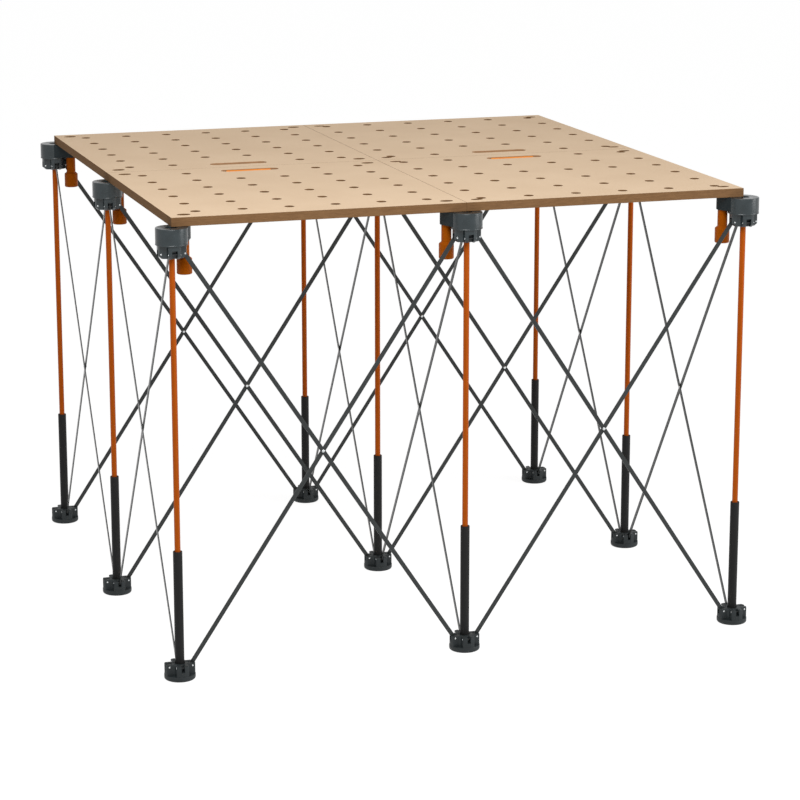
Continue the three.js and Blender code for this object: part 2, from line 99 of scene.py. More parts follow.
def circle(radius, sides, middle=(0, 0)):
    """A round hole's edge, running clockwise as holes do."""
    angles = [-2 * math.pi * i / sides for i in range(sides)]
    return [Vector(middle) + radius * Vector((math.cos(a), math.sin(a))) for a in angles]


def as_mesh(shape):
    bmesh.ops.recalc_face_normals(shape, faces=shape.faces)
    mesh = bpy.data.meshes.new("shape")
    shape.to_mesh(mesh)
    shape.free()
    return mesh


def turned(profile, sides=64):
    """A shape turned on the Z axis from (radius, height) points. Off the axis it closes to a ring."""
    shape = bmesh.new()
    around = [2 * math.pi * i / sides for i in range(sides)]
    rings = []
    for radius, height in profile:
        if radius == 0:
            rings.append([shape.verts.new((0, 0, height))] * sides)
        else:
            rings.append(
                [shape.verts.new((radius * math.cos(a), radius * math.sin(a), height)) for a in around]
            )
    if profile[0][0] > 0:
        rings.append(rings[0])
    for lower, upper in zip(rings, rings[1:]):
        for i in range(sides):
            j = (i + 1) % sides
            shape.faces.new(list(dict.fromkeys((lower[i], lower[j], upper[j], upper[i]))))
    return as_mesh(shape)


def drawn_in(loop, inset, reach):
    """The loop moved into the material by inset, and held inside the radius reach."""
    drawn = []
    for i, point in enumerate(loop):
        ahead = (loop[(i + 1) % len(loop)] - point).normalized()
        behind = (point - loop[i - 1]).normalized()
        sides = Vector((-ahead.y - behind.y, ahead.x + behind.x))
        spot = point + sides * (inset / (1 + ahead.dot(behind)))
        drawn.append(spot * min(1, reach / max(spot.length, MM)))
    return drawn


def slab(loops, levels):
    """A flat piece from an outline, run anticlockwise, and holes, run clockwise. The levels are
    (inset, height) from the lower face to the upper face, with a greatest radius where one is set."""
    shape = bmesh.new()
    rims = []
    for inset, height, *reach in levels:
        rim = []
        for loop in loops:
            spots = drawn_in(loop, inset, reach[0] if reach else math.inf)
            rim.append([shape.verts.new((x, y, height)) for x, y in spots])
        rims.append(rim)
    for lower, upper in zip(rims, rims[1:]):
        for a, b in zip(lower, upper):
            for i in range(len(a)):
                shape.faces.new((a[i - 1], a[i], b[i], b[i - 1]))
    for rim in (rims[0], rims[-1]):
        edges = [shape.edges.get((loop[i - 1], loop[i])) for loop in rim for i in range(len(loop))]
        bmesh.ops.triangle_fill(shape, use_beauty=True, edges=edges)
    return as_mesh(shape)


def together(*meshes):
    shape = bmesh.new()
    for mesh in meshes:
        shape.from_mesh(mesh)
    made = bpy.data.meshes.new("shape")
    shape.to_mesh(made)
    shape.free()
    return made


def moved(mesh, matrix):
    copy = mesh.copy()
    copy.transform(matrix)
    return copy


def quarter_turns(mesh):
    """Four copies of a mesh, a quarter turn apart about the strut."""
    return [moved(mesh, Matrix.Rotation(math.radians(90 * i), 4, "Z")) for i in range(4)]


def lobed_outline(radius, slot):
    """Four lobes about the strut, with a slot cut into each one from its outer end."""
    half, cut = LOBE_WIDTH / 2, slot / 2
    shoulder = math.sqrt(radius**2 - half**2)
    lip = math.sqrt(radius**2 - cut**2)
    bulge = 0.5 * (half + cut)
    lobe = [(half, -half, LOBE_VALLEY), (shoulder, -half, LOBE_CORNER)]
    lobe += [(math.sqrt(radius**2 - bulge**2), -bulge, 0), (lip, -cut, 0)]
    lobe += [(SLOT_INNER, -cut, 1), (SLOT_INNER, cut, 1)]
    lobe += [(lip, cut, 0), (math.sqrt(radius**2 - bulge**2), bulge, 0), (shoulder, half, LOBE_CORNER)]
    corners = []
    for turn in range(4):
        c, s = (1, 0, -1, 0)[turn], (0, 1, 0, -1)[turn]
        corners += [(c * x - s * y, s * x + c * y, r) for x, y, r in lobe]
    return softened(corners)


def slot_filler(low, high, radius, slot):
    """The solid part of a slot, above or below where the brace swings."""
    half = slot / 2 + 0.1
    corners = [(SLOT_INNER - 1, -half), (radius, -half), (radius, half), (SLOT_INNER - 1, half)]
    return slab([[Vector(c) for c in corners]], [(0, low), (0, high)])


def moulded_plastic(name, colours, roughness, shine=0.35, tint=(1, 1, 1)):
    """A moulded finish: two close tones in soft clouds, under a fine spark-eroded grain."""
    finish = bpy.data.materials.new(name)
    finish.use_nodes = True
    nodes, link = finish.node_tree.nodes, finish.node_tree.links.new
    skin = nodes["Principled BSDF"]
    skin.inputs["Specular IOR Level"].default_value = shine
    skin.inputs["Specular Tint"].default_value = (*tint, 1)
    place = nodes.new("ShaderNodeTexCoord").outputs["Object"]
    clouds = nodes.new("ShaderNodeTexNoise")
    clouds.inputs["Scale"].default_value = 55
    clouds.inputs["Detail"].default_value = 6
    link(place, clouds.inputs["Vector"])
    tones = nodes.new("ShaderNodeValToRGB")
    tones.color_ramp.elements[0].position = 0.3
    tones.color_ramp.elements[1].position = 0.72
    for element, colour in zip(tones.color_ramp.elements, colours):
        element.color = (*colour, 1)
    link(clouds.outputs["Fac"], tones.inputs["Fac"])
    link(tones.outputs["Color"], skin.inputs["Base Color"])
    sparks = nodes.new("ShaderNodeTexNoise")
    sparks.inputs["Scale"].default_value = 2400
    sparks.inputs["Detail"].default_value = 3
    link(place, sparks.inputs["Vector"])
    gloss = nodes.new("ShaderNodeMapRange")
    gloss.inputs["From Min"].default_value = 0.3
    gloss.inputs["From Max"].default_value = 0.7
    gloss.inputs["To Min"].default_value = roughness[0]
    gloss.inputs["To Max"].default_value = roughness[1]
    link(clouds.outputs["Fac"], gloss.inputs["Value"])
    link(gloss.outputs["Result"], skin.inputs["Roughness"])
    relief = nodes.new("ShaderNodeBump")
    relief.inputs["Strength"].default_value = 0.2
    relief.inputs["Distance"].default_value = 0.00005
    link(sparks.outputs["Fac"], relief.inputs["Height"])
    link(relief.outputs["Normal"], skin.inputs["Normal"])
    return finish


def add_piece(name, mesh, place, finishes, body, slot, *nodes):
    """Puts a copy of a mesh at its place in its finishes, riding on its body for the nodes it replaces."""
    made = moved(mesh, Matrix.Scale(MM, 4))
    made.name = name
    for finish in finishes:
        made.materials.append(finish)
    for face in made.polygons:
        face.use_smooth = True
    made.set_sharp_from_angle(angle=math.radians(32))
    piece = bpy.data.objects.new(name, made)
    bpy.context.scene.collection.objects.link(piece)
    piece.matrix_world = place
    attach(piece, body)
    if nodes:
        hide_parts(*nodes)
    return piece


foot_base = turned(
    softened(
        [
            (0, 0, 0),
            (FOOT_RADIUS, 0, FOOT_ROUNDING),
            (FOOT_RADIUS, FOOT_BASE, 0.8),
            (0, FOOT_BASE, 0),
        ]
    )
)
foot_lobes = slab(
    [lobed_outline(LOBE_RADIUS, FOOT_SLOT), circle(TUBE_BORE, 40)],
    [(0, FOOT_BASE - 0.5), (0, FOOT_HEIGHT - 0.9), (0.3, FOOT_HEIGHT - 0.3), (0.9, FOOT_HEIGHT)],
)
foot_floor = slot_filler(FOOT_BASE - 0.4, SLOT_FLOOR, LOBE_RADIUS - 0.4, FOOT_SLOT)
foot = together(foot_base, foot_lobes, *quarter_turns(foot_floor))
foot_finish = moulded_plastic("black_nylon", FOOT_BLACK, (0.5, 0.66))
for strut in STRUTS:
    body = "lower_strut_" + strut
    add_piece("foot_" + strut, foot, strut_place(strut), [foot_finish], body, "foot_plastic", body)

# Brace pins: bright plated steel, one pressed through the two cheeks of each lobe. Their ends stand
# a little proud, and the eyes of the braces turn on them.
PIN_RADIUS = 1.8
PIN_CIRCLE = 24  # radius about the strut
PIN_PROUD = 0.5
FOOT_PIN_HEIGHT = 28.5
HEAD_PIN_HEIGHT = 875.2
ZINC = ((0.5, 0.52, 0.53), (0.72, 0.74, 0.74))
DARK_SHANK = ((0.02, 0.021, 0.022), (0.05, 0.051, 0.052))  # nearly black on the shank that the brace turns on, where it runs through the slot


def plated_steel(name, colours, roughness):
    """Bright metal with a faint cloudy plating and fine turning scratches."""
    finish = bpy.data.materials.new(name)
    finish.use_nodes = True
    nodes, link = finish.node_tree.nodes, finish.node_tree.links.new
    skin = nodes["Principled BSDF"]
    skin.inputs["Metallic"].default_value = 1
    place = nodes.new("ShaderNodeTexCoord").outputs["Object"]
    clouds = nodes.new("ShaderNodeTexNoise")
    clouds.inputs["Scale"].default_value = 420
    clouds.inputs["Detail"].default_value = 5
    link(place, clouds.inputs["Vector"])
    tones = nodes.new("ShaderNodeValToRGB")
    for element, colour in zip(tones.color_ramp.elements, colours):
        element.color = (*colour, 1)
    link(clouds.outputs["Fac"], tones.inputs["Fac"])
    link(tones.outputs["Color"], skin.inputs["Base Color"])
    gloss = nodes.new("ShaderNodeMapRange")
    gloss.inputs["To Min"].default_value = roughness[0]
    gloss.inputs["To Max"].default_value = roughness[1]
    link(clouds.outputs["Fac"], gloss.inputs["Value"])
    link(gloss.outputs["Result"], skin.inputs["Roughness"])
    scratches = nodes.new("ShaderNodeTexWave")
    scratches.inputs["Scale"].default_value = 1500
    scratches.inputs["Distortion"].default_value = 6
    link(place, scratches.inputs["Vector"])
    relief = nodes.new("ShaderNodeBump")
    relief.inputs["Strength"].default_value = 0.15
    relief.inputs["Distance"].default_value = 0.00002
    link(scratches.outputs["Fac"], relief.inputs["Height"])
    link(relief.outputs["Normal"], skin.inputs["Normal"])
    return finish


pin_half = LOBE_WIDTH / 2 + PIN_PROUD
pin = turned(
    softened(
        [
            (0, -pin_half, 0),
            (PIN_RADIUS, -pin_half, 0.5),
            (PIN_RADIUS, -SLOT_WIDTH / 2, 0),
            (PIN_RADIUS, SLOT_WIDTH / 2, 0),
            (PIN_RADIUS, pin_half, 0.5),
            (0, pin_half, 0),
        ]
    ),
    sides=20,
)
lying = Matrix.Translation((0, -PIN_CIRCLE, 0)) @ Matrix.Rotation(math.radians(90), 4, "Y")
strut_pins = together(*quarter_turns(moved(pin, lying)))
pin_finish = plated_steel("bright_zinc", ZINC, (0.22, 0.36))
shank_finish = plated_steel("oiled_steel", DARK_SHANK, (0.45, 0.6))
for strut in STRUTS:
    for part, level in (("lower_strut_", FOOT_PIN_HEIGHT), ("upper_strut_", HEAD_PIN_HEIGHT)):
        place = strut_place(strut) @ Matrix.Translation((0, 0, level * MM))
        name = ("foot_pins_" if part == "lower_strut_" else "head_pins_") + strut
        pins = add_piece(name, strut_pins, place, [pin_finish, shank_finish], part + strut, "pin_steel")
        # The shank, where it runs through the slot between the cheeks, takes the nearly black steel.
        for face in pins.data.polygons:
            along = min(abs(face.center.x), abs(face.center.y)) / MM
            face.material_index = 1 if along < SLOT_WIDTH / 2 else 0

# Lower tubes: drawn steel in a satin black coat, open at the top. The upper tube slides inside, and
# the cut upper lip is rolled so that it doesn't scrape the orange paint.
LOWER_RADIUS = 9.5
LOWER_BORE = 7.9
LOWER_LOW = 10.6
LOWER_TOP = 268
TUBE_BLACK = ((0.009, 0.009, 0.009), (0.014, 0.014, 0.014))


def coated_tube(name, colours, roughness, shine, tint=(1, 1, 1)):
    """A baked coat on drawn tube: orange-peel bump, and long faint drawing streaks in the gloss."""
    finish = bpy.data.materials.new(name)
    finish.use_nodes = True
    nodes, link = finish.node_tree.nodes, finish.node_tree.links.new
    skin = nodes["Principled BSDF"]
    skin.inputs["Specular IOR Level"].default_value = shine
    skin.inputs["Specular Tint"].default_value = (*tint, 1)
    place = nodes.new("ShaderNodeTexCoord").outputs["Object"]
    drawn = nodes.new("ShaderNodeMapping")
    drawn.inputs["Scale"].default_value = (320, 320, 7)
    link(place, drawn.inputs["Vector"])
    streaks = nodes.new("ShaderNodeTexNoise")
    streaks.inputs["Scale"].default_value = 1
    streaks.inputs["Detail"].default_value = 5
    link(drawn.outputs["Vector"], streaks.inputs["Vector"])
    tones = nodes.new("ShaderNodeValToRGB")
    tones.color_ramp.elements[0].position = 0.28
    tones.color_ramp.elements[1].position = 0.74
    for element, colour in zip(tones.color_ramp.elements, colours):
        element.color = (*colour, 1)
    link(streaks.outputs["Fac"], tones.inputs["Fac"])
    link(tones.outputs["Color"], skin.inputs["Base Color"])
    gloss = nodes.new("ShaderNodeMapRange")
    gloss.inputs["From Min"].default_value = 0.25
    gloss.inputs["From Max"].default_value = 0.75
    gloss.inputs["To Min"].default_value = roughness[0]
    gloss.inputs["To Max"].default_value = roughness[1]
    link(streaks.outputs["Fac"], gloss.inputs["Value"])
    link(gloss.outputs["Result"], skin.inputs["Roughness"])
    peel = nodes.new("ShaderNodeTexNoise")
    peel.inputs["Scale"].default_value = 900
    peel.inputs["Detail"].default_value = 2
    link(place, peel.inputs["Vector"])
    relief = nodes.new("ShaderNodeBump")
    relief.inputs["Strength"].default_value = 0.2
    relief.inputs["Distance"].default_value = 0.00005
    link(peel.outputs["Fac"], relief.inputs["Height"])
    link(relief.outputs["Normal"], skin.inputs["Normal"])
    return finish


lower_tube = turned(
    softened(
        [
            (LOWER_RADIUS, LOWER_LOW, 0.4),
            (LOWER_RADIUS, LOWER_TOP, 0.75),
            (LOWER_BORE, LOWER_TOP, 0.75),
            (LOWER_BORE, LOWER_LOW, 0.4),
        ]
    ),
    sides=48,
)
lower_finish = coated_tube("black_tube_coat", TUBE_BLACK, (0.38, 0.55), 0.14)
for strut in STRUTS:
    body = "lower_strut_" + strut
    place = strut_place(strut)
    add_piece("lower_tube_" + strut, lower_tube, place, [lower_finish], body, "lower_tube_steel")

# Upper tubes: drawn steel in an orange baked coat. Each one hangs from its head and runs down inside
# the lower tube nearly to the foot.
UPPER_RADIUS = 6
UPPER_BORE = 4.8
UPPER_LOW = 45
UPPER_TOP = 868.5  # inside the hub
TUBE_ORANGE = ((0.315, 0.058, 0.0036), (0.396, 0.0765, 0.0063))
ORANGE_SHEEN = (1, 0.3, 0.04)

upper_tube = turned(
    softened(
        [
            (UPPER_RADIUS, UPPER_LOW, 0.5),
            (UPPER_RADIUS, UPPER_TOP, 0),
            (UPPER_BORE, UPPER_TOP, 0),
            (UPPER_BORE, UPPER_LOW, 0.5),
        ]
    ),
    sides=40,
)
upper_finish = coated_tube("orange_tube_coat", TUBE_ORANGE, (0.34, 0.5), 0.3, ORANGE_SHEEN)
for strut in STRUTS:
    body = "upper_strut_" + strut
    place = strut_place(strut)
    add_piece("upper_tube_" + strut, upper_tube, place, [upper_finish], body, "upper_tube_steel")

# Heads: slate grey moulded nylon. A round cup with a flat rim and a socket for accessories stands on
# a hub with the same four slotted lobes as the foot, opened downwards.
HEAD_TOP = 926.2
CUP_RADIUS = 32
CUP_HEIGHT = 34
CUP_BEAD = 0.4  # how far the bead round the wall's lower edge stands out
CUP_BEAD_HEIGHT = 1.6
CUP_BEAD_SLOPE = 0.8
CUP_RIM_EDGE = 1.6
SOCKET_EDGE = 1.2
SOCKET_RADIUS = 11
SOCKET_DEPTH = 30
HUB_RADIUS = 29
HUB_HEIGHT = 26
HUB_CHAMFER = 5
SLOT_ROOF = 883.2  # of a head's slots
SLATE = ((0.012, 0.0195, 0.022), (0.0185, 0.0275, 0.031))

cup_bottom = HEAD_TOP - CUP_HEIGHT
hub_bottom = cup_bottom - HUB_HEIGHT
cup = turned(
    softened(
        [
            (0, cup_bottom, 0),
            (CUP_RADIUS + CUP_BEAD, cup_bottom, 0.4),
            (CUP_RADIUS + CUP_BEAD, cup_bottom + CUP_BEAD_HEIGHT, 0.6),
            (CUP_RADIUS, cup_bottom + CUP_BEAD_HEIGHT + CUP_BEAD_SLOPE, 0.3),
            (CUP_RADIUS, HEAD_TOP, CUP_RIM_EDGE),
            (SOCKET_RADIUS, HEAD_TOP, SOCKET_EDGE),
            (SOCKET_RADIUS, HEAD_TOP - SOCKET_DEPTH, 1),
            (0, HEAD_TOP - SOCKET_DEPTH, 0),
        ]
    ),
    sides=80,
)
hub = slab(
    [lobed_outline(HUB_RADIUS, SLOT_WIDTH)],
    [
        (0.5, hub_bottom, HUB_RADIUS - HUB_CHAMFER - 0.5),
        (0, hub_bottom + 0.5, HUB_RADIUS - HUB_CHAMFER),
        (0, hub_bottom + HUB_CHAMFER),
        (0, cup_bottom + 0.6),
    ],
)
slot_roof = slot_filler(SLOT_ROOF, cup_bottom + 0.5, HUB_RADIUS - 0.4, SLOT_WIDTH)
head = together(cup, hub, *quarter_turns(slot_roof))
head_finish = moulded_plastic("slate_nylon", SLATE, (0.22, 0.34), 0.5)
for strut in STRUTS:
    body = "upper_strut_" + strut
    add_piece("head_" + strut, head, strut_place(strut), [head_finish], body, "head_plastic", body)

# Lock brackets: an arm and a boss that stand out diagonally from each outer head, in the heads' slate
# nylon painted darker, as painted shade for the shadow of the top. The boss is bored for the knob's
# spindle and recessed on top for its cross bar.
BOSS_RADIUS = 13.6
BOSS_TOP = 925.7
BOSS_HEIGHT = 29
BOSS_BORE = 6
BOSS_RECESS_RADIUS = 11.4
BOSS_RECESS_DEPTH = 6
BOSS_EDGE = 0.8
ARM_ROOT = 31.4  # the arm ends against the cup's wall
# painted shade: the heads' slate darkened for the shadow that the top casts on the brackets
SHADED_SLATE = ((0.009, 0.014, 0.016), (0.014, 0.020, 0.023))

KNOBS = [n.removeprefix("lock_knob_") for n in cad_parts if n.startswith("lock_knob_")]


def knob_place(strut):
    low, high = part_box("lock_knob_" + strut)
    middle = (low + high) / 2
    return Vector((middle.x, middle.y, 0))


def carved(mesh, cutter):
    """The mesh with the cutter's shape taken out of it."""
    work = bpy.data.objects.new("work", mesh)
    tool = bpy.data.objects.new("tool", cutter)
    for part in (work, tool):
        bpy.context.scene.collection.objects.link(part)
    cut = work.modifiers.new("cut", "BOOLEAN")
    cut.object = tool
    cut.solver = "EXACT"
    made = bpy.data.meshes.new_from_object(work.evaluated_get(bpy.context.evaluated_depsgraph_get()))
    for part in (work, tool):
        bpy.data.objects.remove(part)
    return made


def bracket_mesh(reach):
    """The arm and boss with the strut at the origin and the boss along +X."""
    lean = math.acos((CUP_RADIUS - BOSS_RADIUS) / reach)  # where the outline leaves cup and boss
    steps = 24
    wall = [lean - 2 * lean * i / steps for i in range(steps + 1)]
    outline = [ARM_ROOT * Vector((math.cos(a), math.sin(a))) for a in wall]
    nose = [-lean + 2 * lean * i / steps for i in range(steps + 1)]
    outline += [
        Vector((reach, 0)) + BOSS_RADIUS * Vector((math.cos(a), math.sin(a))) for a in nose
    ]
    low = BOSS_TOP - BOSS_HEIGHT
    arm = slab(
        [outline],
        [(BOSS_EDGE, low), (0, low + BOSS_EDGE), (0, BOSS_TOP - BOSS_EDGE), (BOSS_EDGE, BOSS_TOP)],
    )
    opening = turned(
        [
            (0, low - 1),
            (BOSS_BORE, low - 1),
            (BOSS_BORE, BOSS_TOP - BOSS_RECESS_DEPTH),
            (BOSS_RECESS_RADIUS, BOSS_TOP - BOSS_RECESS_DEPTH),
            (BOSS_RECESS_RADIUS, BOSS_TOP + 1),
            (0, BOSS_TOP + 1),
        ],
        sides=40,
    )
    return carved(arm, moved(opening, Matrix.Translation((reach, 0, 0))))


# The brackets' finish carries painted shade: the darker slate stands for the shadow under the top.
bracket_finish = moulded_plastic("dark_slate_nylon", SHADED_SLATE, (0.45, 0.6), 0.15)
for strut in KNOBS:
    place = strut_place(strut)
    away = knob_place(strut) - place.translation
    bracket = bracket_mesh(away.length / MM)
    turn = Matrix.Rotation(math.atan2(away.y, away.x), 4, "Z")
    body = "upper_strut_" + strut
    add_piece("lock_bracket_" + strut, bracket, place @ turn, [bracket_finish], body, "head_plastic")

# Lock knobs: orange moulded nylon. A round grip and neck below the boss, and above them a spindle
# with a cross bar that goes up through a panel's keyhole and locks with a quarter turn.
GRIP_RADIUS = 15.4
GRIP_LOW = 826.4
GRIP_TOP = 861.4
GRIP_SHOULDER = 4
NECK_RADIUS = 10.4
NECK_TOP = 896.4
SPINDLE_RADIUS = 5
BAR_LOW = 920
BAR_TOP = 924.2
BAR_HALF_LENGTH = 9.6
BAR_HALF_WIDTH = 3.5
BAR_CORNER = 1.5
KNOB_ORANGE = ((0.243, 0.052, 0.001), (0.298, 0.067, 0.002))

knob_body = turned(
    softened(
        [
            (0, GRIP_LOW, 0),
            (GRIP_RADIUS, GRIP_LOW, 2.4),
            (GRIP_RADIUS, GRIP_TOP - GRIP_SHOULDER, 2.2),
            (NECK_RADIUS, GRIP_TOP, 1.2),
            (NECK_RADIUS, NECK_TOP, 0.8),
            (SPINDLE_RADIUS, NECK_TOP, 0.5),
            (SPINDLE_RADIUS, BAR_LOW + 1, 0),
            (0, BAR_LOW + 1, 0),
        ]
    ),
    sides=56,
)
bar_corners = [
    (-BAR_HALF_LENGTH, -BAR_HALF_WIDTH, BAR_CORNER),
    (BAR_HALF_LENGTH, -BAR_HALF_WIDTH, BAR_CORNER),
    (BAR_HALF_LENGTH, BAR_HALF_WIDTH, BAR_CORNER),
    (-BAR_HALF_LENGTH, BAR_HALF_WIDTH, BAR_CORNER),
]
cross_bar = slab(
    [softened(bar_corners)],
    [(0.5, BAR_LOW), (0, BAR_LOW + 0.5), (0, BAR_TOP - 0.8), (0.8, BAR_TOP)],
)
knob = together(knob_body, cross_bar)
knob_finish = moulded_plastic("orange_nylon", KNOB_ORANGE, (0.4, 0.56), 0.3, ORANGE_SHEEN)
for strut in KNOBS:
    node = "lock_knob_" + strut
    place = Matrix.Translation(knob_place(strut))
    add_piece("knob_" + strut, knob, place, [knob_finish], node, "knob_plastic", node)

# Scissor braces: flat steel bars in a dark grey coat, with a rounded eye punched at each end. Two
# bars cross between neighbouring struts, each from one strut's foot to the other's head.
BRACE_WIDTH = 9
BRACE_THICK = 2
BRACE_EYE = 5.2
BRACE_BURR = 0.25  # eased edges
EYE_HOLE = 2.2
RIVET_HOLE = 2.3
BRACE_SHIFT = 1.2  # of each bar from the pair's middle plane
BRACE_GREY = ((0.018, 0.021, 0.021), (0.028, 0.032, 0.032))

BRACES = [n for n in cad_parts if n.startswith("brace_")]
pitch = (strut_place("mid_right").translation - strut_place("centre").translation).x / MM
brace_span = pitch - 2 * PIN_CIRCLE
brace_rise = HEAD_PIN_HEIGHT - FOOT_PIN_HEIGHT
brace_length = math.hypot(brace_span, brace_rise)


def coated_bar(name, colours, roughness):
    """A dark baked coat on rolled strip, with streaks along the bar."""
    finish = bpy.data.materials.new(name)
    finish.use_nodes = True
    nodes, link = finish.node_tree.nodes, finish.node_tree.links.new
    skin = nodes["Principled BSDF"]
    skin.inputs["Specular IOR Level"].default_value = 0.32
    place = nodes.new("ShaderNodeTexCoord").outputs["Object"]
    rolled = nodes.new("ShaderNodeMapping")
    rolled.inputs["Scale"].default_value = (9, 520, 520)
    link(place, rolled.inputs["Vector"])
    streaks = nodes.new("ShaderNodeTexNoise")
    streaks.inputs["Scale"].default_value = 1
    streaks.inputs["Detail"].default_value = 6
    link(rolled.outputs["Vector"], streaks.inputs["Vector"])
    tones = nodes.new("ShaderNodeValToRGB")
    tones.color_ramp.elements[0].position = 0.3
    tones.color_ramp.elements[1].position = 0.75
    for element, colour in zip(tones.color_ramp.elements, colours):
        element.color = (*colour, 1)
    link(streaks.outputs["Fac"], tones.inputs["Fac"])
    link(tones.outputs["Color"], skin.inputs["Base Color"])
    gloss = nodes.new("ShaderNodeMapRange")
    gloss.inputs["From Min"].default_value = 0.25
    gloss.inputs["From Max"].default_value = 0.75
    gloss.inputs["To Min"].default_value = roughness[0]
    gloss.inputs["To Max"].default_value = roughness[1]
    link(streaks.outputs["Fac"], gloss.inputs["Value"])
    link(gloss.outputs["Result"], skin.inputs["Roughness"])
    relief = nodes.new("ShaderNodeBump")
    relief.inputs["Strength"].default_value = 0.25
    relief.inputs["Distance"].default_value = 0.00004
    link(streaks.outputs["Fac"], relief.inputs["Height"])
    link(relief.outputs["Normal"], skin.inputs["Normal"])
    return finish


def brace_place(node):
    """The bar's own axes at rest: along it, across it, and out of the pair's plane."""
    start, end = (strut_place(s).translation for s in node.removeprefix("brace_").split("_to_"))
    way = (end - start).normalized()
    up = Vector((0, 0, 1))
    along = (way * brace_span + up * brace_rise).normalized()
    depth = up.cross(way)
    origin = start + way * PIN_CIRCLE * MM + depth * BRACE_SHIFT * MM + up * FOOT_PIN_HEIGHT * MM
    axes = Matrix((along, depth.cross(along), depth)).transposed().to_4x4()
    return Matrix.Translation(origin) @ axes


def brace_mesh():
    """One bar with its two eyes and the rivet's hole, lying along X from the foot's eye."""
    half = BRACE_WIDTH / 2
    start = math.asin(half / BRACE_EYE)
    steps = 20
    sweep = 2 * (math.pi - start)
    turns = [start + sweep * i / steps for i in range(steps + 1)]
    outline = [BRACE_EYE * Vector((math.cos(a), math.sin(a))) for a in turns]
    outline += [Vector((brace_length - p.x, -p.y)) for p in outline]
    holes = [circle(EYE_HOLE, 20), circle(EYE_HOLE, 20, (brace_length, 0))]
    holes.append(circle(RIVET_HOLE, 20, (brace_length / 2, 0)))
    face = BRACE_THICK / 2
    levels = [(BRACE_BURR, -face), (0, BRACE_BURR - face), (0, face - BRACE_BURR), (BRACE_BURR, face)]
    return slab([outline, *holes], levels)


brace_finish = coated_bar("grey_bar_coat", BRACE_GREY, (0.18, 0.3))
bar = brace_mesh()
for node in BRACES:
    name = "bar_" + node.removeprefix("brace_")
    add_piece(name, bar, brace_place(node), [brace_finish], node, "brace_steel", node)

# Rivets: domed bright steel, one through each crossing of two bars. The first bar of a pair carries
# it, and the second turns on its shank.
RIVET_RADIUS = 1.9
RIVET_HEAD = 3.6
RIVET_DOME = 1.4
RIVET_CROWN = 2.232  # radius where the dome flattens
BAR_GAP = 0.4  # between the two bars
RIVET_PLAY = 0.3  # between the second bar and the rivet's far head
FAR_FACE = -(BRACE_THICK / 2 + BAR_GAP + BRACE_THICK + RIVET_PLAY)

near_face = BRACE_THICK / 2
rivet = turned(
    softened(
        [
            (0, FAR_FACE - RIVET_DOME, 0),
            (RIVET_CROWN, FAR_FACE - RIVET_DOME, RIVET_DOME),
            (RIVET_HEAD, FAR_FACE, 0.3),
            (RIVET_RADIUS, FAR_FACE, 0),
            (RIVET_RADIUS, near_face, 0),
            (RIVET_HEAD, near_face, 0.3),
            (RIVET_CROWN, near_face + RIVET_DOME, RIVET_DOME),
            (0, near_face + RIVET_DOME, 0),
        ]
    ),
    sides=28,
)
first_bars = ["centre", "front_mid", "back_mid", "mid_right", "mid_left"]  # struts they start from
for node in BRACES:
    start, end = node.removeprefix("brace_").split("_to_")
    outward = strut_place(end).translation.length > strut_place(start).translation.length
    if start in first_bars and outward:
        place = brace_place(node) @ Matrix.Translation((brace_length / 2 * MM, 0, 0))
        add_piece("rivet_" + start + "_to_" + end, rivet, place, [pin_finish], node, "pin_steel")

# Panels: fibreboard with a pale sanded face and saw-brown edges. Each is drilled on a grid, slotted
# for a hand beside the fold, and cut with a keyhole near each corner.
PANEL_SIDE = 609
PANEL_LOW = 926.5
PANEL_TOP = 944.5
PANEL_EASE = 0.3
SEAM = 0.5  # half the gap that the grid leaves between two panels
SEAM_LAP = 0.25  # how far each board reaches into that gap
DOG_RADIUS = 10
DOG_ROWS = 6
DOG_PITCH = {"left": 96.4, "right": 103.4}
KEY_INSET = 32
KEY_HALF = {"left": (13.5, 9.5), "right": (12.5, 7.5)}  # half length and half width of a keyhole
HAND_LENGTH = 128
HAND_WIDTH = 26
HAND_INSET = 49.5
FOLD_CHAMFER = 3.1
LINK_SPREAD = 350
LINK_LENGTH = 50
LINK_POCKET = 8.75  # from the fold to the pocket's far wall
LINK_PIN_INSET = 4.5
LINK_PIN_LEVEL = 930.5
LINK_POCKET_ROOF = 934.75
LINK_PLAY = 0.3  # at each end of a link in its pocket
BOARD_TAN = ((0.64, 0.465, 0.305), (0.75, 0.563, 0.386))
BOARD_BROWN = ((0.121, 0.061, 0.025), (0.232, 0.125, 0.055))
SLOT_LIT_BROWN = ((0.24, 0.122, 0.055), (0.42, 0.24, 0.125))  # painted light: a lighter brown on the hand slots' walls, for the light that falls into the slots
